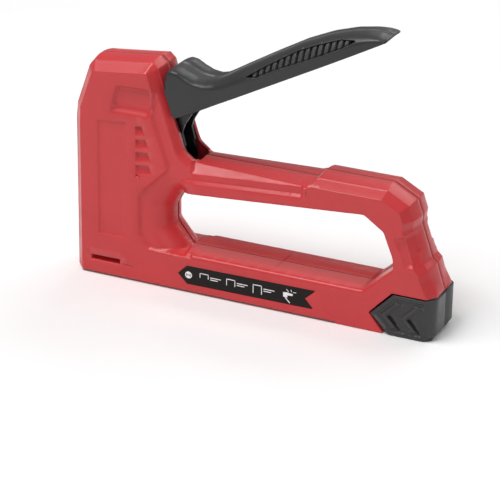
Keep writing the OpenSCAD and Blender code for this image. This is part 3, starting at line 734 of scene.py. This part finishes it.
def lever_features():
    """Rows of points beside the window, the shoulder and the ribs."""
    found = [
        rows(WINDOW, [-0.15, 0.0, 0.28, 0.5], 0.5),
        rows(np.array(SHOULDER), [-0.5, 0, 0.5, 1], 0.8, False),
    ]
    for r in RIBS:
        z = 102 + (r - 84) * 0.5
        for dx in (-1.0, -0.92, -0.78, -0.7, 0.7, 0.78, 0.92, 1.0):
            line = np.array([(r + dx, z), (r + dx, z + 16)])
            p, _ = sampled(line, 0.5, False)
            found.append(p[signed(p, WINDOW) > 0.12])
    return found


LEVER_THICK = 2.4
LEVER_FILL = 1.7
LEVER_ROWS = ([0.06, 0.2, 0.4, 0.7, 1.1, 1.6, 2.2, 2.9, 3.7, 4.6, 5.5, 6.4], [])
form = relief(
    "lever", LEVER, [], lever_height, lever_features(), LEVER_FILL, LEVER_ROWS,
    lambda v: distance(v, LEVER_TOP, False) < 0.05, LEVER_THICK, mark=lever_mark,
)
for side, name in ((-1, "lever_cover_left"), (1, "lever_cover_right")):
    piece = build(form, side, [GREY, GREY, PAD, GAP_SHADE])
    piece.name = name
    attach(piece, "lever")
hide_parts("lever_grip", "left_grip_insert")
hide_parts("right_grip_insert")


# ---------------------------------------------------------------- the end cap

CAP_EDGE = fillet([
    (150.7, 8.9), (157.7, 1.9), (159.9, 0), (179.2, 0), (181, 2.8), (181, 19.7), (161.2, 19.7)
], [0.6, 0.6, 0.6, 0.6, 0.6, 0.8, 0.6])
CAP_REAR = stretch(CAP_EDGE, (179.6, 0.4), (181, 19.4))
CAP_SIDES = stretch(CAP_EDGE, (181, 19.4), (179.6, 0.4))
CAP_THICK = 2.0
CAP_FILL = 1.3
CAP_ROWS = ([0.05, 0.15, 0.3, 0.5, 0.9, 1.5, 2.2, 3.0, 4.0, 5.0], [])
BARS = (155.4, 164.8)     # where the two raised arrowhead bars start
BAR_WIDTH = 3.1
CAP_SLOTS = [np.array([(x0 + 4.1, 8.6), (x0 + 9.4, 2.8)]) for x0 in BARS]


def chevron(p, x0):
    """How far within an arrowhead bar each point is; the bar's point is in front."""
    x, z = p[:, 0], p[:, 1]
    left_edge = x - (x0 + np.abs(z - 9.2))
    right_edge = (x0 + BAR_WIDTH + np.abs(z - 9.0)) - x
    ends = np.minimum(z - 3.4, 16.0 - z)
    return np.minimum(np.minimum(left_edge, right_edge) / 1.414, ends)


def cap_height(p):
    """Height of the cap's side above the seam plane."""
    x = p[:, 0]
    dr, dh = distance(p, CAP_REAR, False), distance(p, CAP_SIDES, False)
    y = HALF - np.maximum(circle(dr, 5.0), circle(dh, 0.5))
    # the field round the bars is sunk, and a narrow slot runs behind each bar's lower arm
    field = ramp((dh - 1.6) / 0.6) * smooth((177.5 - x) / 2)
    bars = np.maximum(chevron(p, BARS[0]), chevron(p, BARS[1]))
    deep = 0.65 * field * (1 - ramp(bars / 0.45 + 0.2))
    for slot in CAP_SLOTS:
        deep = np.maximum(deep, 4.5 * ramp((0.36 - distance(p, slot, False)) / 0.08))
    return np.maximum(y - deep, GROUND)


def cap_features():
    """Rows of points beside the sunk field's edge, the slots and the bars."""
    found = [rows(CAP_EDGE, [1.5, 1.7, 2.15, 2.3], 0.7)]
    found += [rows(slot, [-0.38, -0.26, 0.26, 0.38], 0.4, False) for slot in CAP_SLOTS]
    for x0 in BARS:
        for shift, apex in ((0, 9.2), (BAR_WIDTH, 9.0)):
            for dx in (-0.5, -0.1, 0.35, 0.7):
                s = dx if shift == 0 else -dx
                line = np.array([
                    (x0 + shift + 6.8 + s, apex + 6.8),
                    (x0 + shift + s, apex),
                    (x0 + shift + 5.8 + s, apex - 5.8),
                ])
                found.append(sampled(line, 0.5, False)[0])
        for z in (3.3, 3.7, 15.7, 16.1):
            found.append(sampled(np.array([(x0 + 5, z), (x0 + 11, z)]), 0.5, False)[0])
    return found


form = relief(
    "cap", CAP_EDGE, [], cap_height, cap_features(), CAP_FILL, CAP_ROWS,
    lambda v: np.ones(len(v), bool), CAP_THICK,
)
for side, name in ((-1, "cap_left"), (1, "cap_right")):
    piece = build(form, side, [CAP, CAP])
    piece.name = name
    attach(piece, "magazine")
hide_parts("end_cap")


# ---------------------------------------------------------------- labels

FILM, MARKS, BADGE = 13.93, 13.95, 13.97     # distances of the label's three layers from the seam plane


def flat_mesh(name, polygons, depth, side, material):
    """Flat outlines in the side's plane, depth outwards from the seam."""
    mesh = bpy.data.meshes.new(name)
    co, faces = [], []
    for poly in polygons:
        start = len(co)
        co += [(x * MM + NOSE, side * depth * MM, z * MM) for x, z in poly]
        ring = list(range(start, len(co)))
        faces.append(tuple(ring if side < 0 else ring[::-1]))
    mesh.from_pydata(co, [], faces)
    mesh.materials.append(material)
    obj = bpy.data.objects.new(name, mesh)
    scene.collection.objects.link(obj)
    return obj


def bar(x0, z0, x1, z1, w):
    """A bar of width w between two points, square at its ends."""
    d = np.array((x1 - x0, z1 - z0), float)
    d /= np.linalg.norm(d)
    n = np.array((-d[1], d[0])) * w / 2
    a, b = np.array((x0, z0)) - d * w / 2, np.array((x1, z1)) + d * w / 2
    return [tuple(a - n), tuple(b - n), tuple(b + n), tuple(a + n)]


def picture_marks(side):
    """A round badge, three staples of growing leg and a small tool, in place of the printed label."""
    marks = [disc(60.6, 8.95, 1.75)]
    dark = [bar(59.7, 8.95, 61.5, 8.95, 0.3), bar(59.7, 8.4, 59.7, 9.5, 0.3), bar(61.5, 8.4, 61.5, 9.5, 0.3)]
    for x, leg in ((66.5, 2.0), (80.0, 3.0), (93.4, 4.1)):
        marks += [bar(x, 10.9, x + 4.2, 10.9, 0.42), bar(x, 10.9, x, 10.9 - leg, 0.36),
                  bar(x + 4.2, 10.9, x + 4.2, 10.9 - leg, 0.36)]
        for k in range(2):
            marks.append(bar(x + 5.4, 9.7 - 1.0 * k, x + 10.4 - 1.6 * k, 9.7 - 1.0 * k, 0.42))
    marks += [
        [(108.4, 8.0), (110.4, 7.9), (110.5, 9.0), (113.0, 9.2), (113.2, 10.1), (110.2, 10.5), (108.3, 10.2)],
        bar(109.6, 7.6, 111.6, 5.6, 0.5),
        bar(110.0, 11.9, 110.9, 11.0, 0.3), bar(112.2, 12.0, 112.5, 11.2, 0.3),
        bar(113.4, 11.0, 114.6, 11.1, 0.3),
    ]
    if side > 0:
        # on the right-hand side the row runs the other way
        middle = 59.7 + 119.4
        marks = [[(middle - x, z) for x, z in m][::-1] for m in marks]
        dark = [[(middle - x, z) for x, z in m][::-1] for m in dark]
    return marks, dark


for side, name in ((-1, "left"), (1, "right")):
    edge = fillet([(55.2, 8.9), (59.8, 4.35), (123.2, 4.75), (119.1, 9.3), (124.2, 13.9), (59.8, 13.4)], 0.4)
    film = flat_mesh(name + "_label_film", [[tuple(q) for q in edge]], FILM, side, LABEL)
    marks, dark = picture_marks(side)
    ink = flat_mesh(name + "_label_marks", marks, MARKS, side, INK)
    core = flat_mesh(name + "_label_badge", dark, BADGE, side, LABEL)
    for piece in (film, ink, core):
        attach(piece, "root")
    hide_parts(name + "_label")


# ---------------------------------------------------------------- springs

CLOSED = 1.04             # pitch of a coil's closed ends, in parts of the wire's thickness


def wire_piece(name, path, radius, material, sides=10):
    """A round wire along a path in metres, with rounded ends."""
    path = np.array(path, float)
    along = np.gradient(path, axis=0)
    along /= np.linalg.norm(along, axis=1)[:, None]
    over = np.cross(along[0], (0.3, 0.5, 0.8))
    frames = []
    for u in along:
        over = over - u * (over @ u)
        over /= np.linalg.norm(over)
        frames.append((over, np.cross(u, over)))
    rings = [(path[0] - along[0] * radius * 0.7, 0.6, 0)]
    rings += [(q, 1.0, i) for i, q in enumerate(path)]
    rings.append((path[-1] + along[-1] * radius * 0.7, 0.6, len(path) - 1))
    co, faces = [], []
    for q, scale, i in rings:
        one, two = frames[i]
        for k in range(sides):
            a = 2 * math.pi * k / sides
            co.append(q + radius * scale * (math.cos(a) * one + math.sin(a) * two))
    for i in range(len(rings) - 1):
        for k in range(sides):
            n = (k + 1) % sides
            faces.append((i * sides + k, i * sides + n, (i + 1) * sides + n, (i + 1) * sides + k))
    faces.append(tuple(range(sides))[::-1])
    faces.append(tuple(range(len(co) - sides, len(co))))
    mesh = bpy.data.meshes.new(name)
    mesh.from_pydata([tuple(c) for c in co], [], faces)
    mesh.materials.append(material)
    for poly in mesh.polygons:
        poly.use_smooth = True
    obj = bpy.data.objects.new(name, mesh)
    scene.collection.objects.link(obj)
    return obj


def coil(low, high, radius, wire, turns, steps):
    """The path of a compression spring with closed ends, along the third coordinate from low to high."""
    path = []
    length = high - low
    for i in range(int(turns * steps) + 1):
        t = i / steps
        if t < 1:
            h = t * wire * CLOSED
        elif t > turns - 1:
            h = length - (turns - t) * wire * CLOSED
        else:
            h = wire * CLOSED + (t - 1) * (length - 2 * CLOSED * wire) / (turns - 2)
        a = 2 * math.pi * t
        path.append((radius * math.cos(a), radius * math.sin(a), low + h))
    return path


# the path is the middle of the wire, so it ends half a wire's thickness within its seats
lo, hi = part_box("power_spring")
mid = (lo + hi) / 2
path = [(mid.x + x, y, z) for x, y, z in coil(lo.z + 0.00096, hi.z - 0.0009, 0.0055, 0.0018, 8, 30)]
piece = wire_piece("drive_spring", path, 0.0009, SPRING)
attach(piece, "root")
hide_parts("power_spring")
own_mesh(piece)

lo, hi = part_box("pusher_spring")
mid = (lo + hi) / 2
path = [(z, y, mid.z + x) for x, y, z in coil(lo.x + 0.00035, hi.x - 0.00035, 0.0027, 0.0007, 34, 20)]
piece = wire_piece("follower_spring", path, 0.00035, SPRING, 8)
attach(piece, "magazine")
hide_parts("pusher_spring")
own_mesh(piece)

# five turns round the lever's pin, with a straight leg at each end
px, pz = 46 * MM + NOSE, 0.062
turn_radius, width = 0.0048, 0.0064
path = []
start, sweep, count = math.radians(162), math.radians(360 * 5 - 12), 200
for i in range(count + 1):
    a = start + sweep * i / count
    path.append((px + turn_radius * math.cos(a), width * (i / count - 0.5), pz + turn_radius * math.sin(a)))
first = Vector(path[0]) + 0.014 * Vector((math.sin(start), 0, -math.cos(start)))
end = start + sweep
last = Vector(path[-1]) + 0.011 * Vector((-math.sin(end), 0, math.cos(end)))
piece = wire_piece("return_spring", [tuple(first)] + path + [tuple(last)], 0.00055, SPRING)
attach(piece, "lever")
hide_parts("lever_spring")


# ---------------------------------------------------------------- floor, light, camera

floor_mesh = bpy.data.meshes.new("floor")
floor_mesh.from_pydata([(-6, -6, 0), (6, -6, 0), (6, 6, 0), (-6, 6, 0)], [], [(0, 1, 2, 3)])
floor_obj = bpy.data.objects.new("floor", floor_mesh)
paper, tree, b = principled("pale_paper", (0.93, 0.93, 0.93), 0.9, specular=0.1)
tree.links.new(
    mix(tree, spread(tree, noise(tree, 40, 3), 0.0, 1.0), (0.925, 0.925, 0.925), (0.935, 0.935, 0.935)),
    b.inputs["Base Color"])
floor_mesh.materials.append(paper)
floor_obj.location.z = cad_box[0][2] - 0.0002
scene.collection.objects.link(floor_obj)

world = bpy.data.worlds.new("studio")
world.use_nodes = True
world.node_tree.nodes["Background"].inputs["Color"].default_value = (1, 1, 1, 1)
world.node_tree.nodes["Background"].inputs["Strength"].default_value = 0.30
scene.world = world


def area(name, place, target, size, power):
    light = bpy.data.lights.new(name, "AREA")
    light.shape = "RECTANGLE"
    light.size, light.size_y = size
    light.energy = power
    obj = bpy.data.objects.new(name, light)
    obj.location = place
    obj.rotation_euler = (Vector(target) - Vector(place)).to_track_quat("-Z", "Y").to_euler()
    scene.collection.objects.link(obj)


area("key", (-0.35, -0.42, 1.3), (0, 0, 0.05), (0.9, 0.7), 15)
area("front", (0.75, -1.35, 0.55), (0, 0, 0.06), (1.0, 0.9), 2.4)
area("back", (0.3, 0.9, 0.9), (0, 0, 0.06), (1.4, 0.5), 6)

camera = bpy.data.cameras.new("camera")
camera.sensor_fit = "HORIZONTAL"
camera.sensor_width = 36
camera.lens = 162
camera.clip_start = 0.05
camera.clip_end = 50
cam = bpy.data.objects.new("camera", camera)
azimuth, elevation, roll = math.radians(24.65), math.radians(23.7), 0.0155
level = Vector((math.cos(azimuth), math.sin(azimuth), 0))
forward = Vector((
    -math.sin(azimuth) * math.cos(elevation),
    math.cos(azimuth) * math.cos(elevation),
    -math.sin(elevation),
))
upright = level.cross(forward)
right_axis = math.cos(roll) * level + math.sin(roll) * upright
up_axis = -math.sin(roll) * level + math.cos(roll) * upright
place = Matrix((right_axis, up_axis, -forward)).transposed().to_4x4()
place.translation = Vector((0.38885, -0.85912, 0.43832))
cam.matrix_world = place
scene.collection.objects.link(cam)
scene.camera = cam
scene.view_settings.view_transform = "Standard"
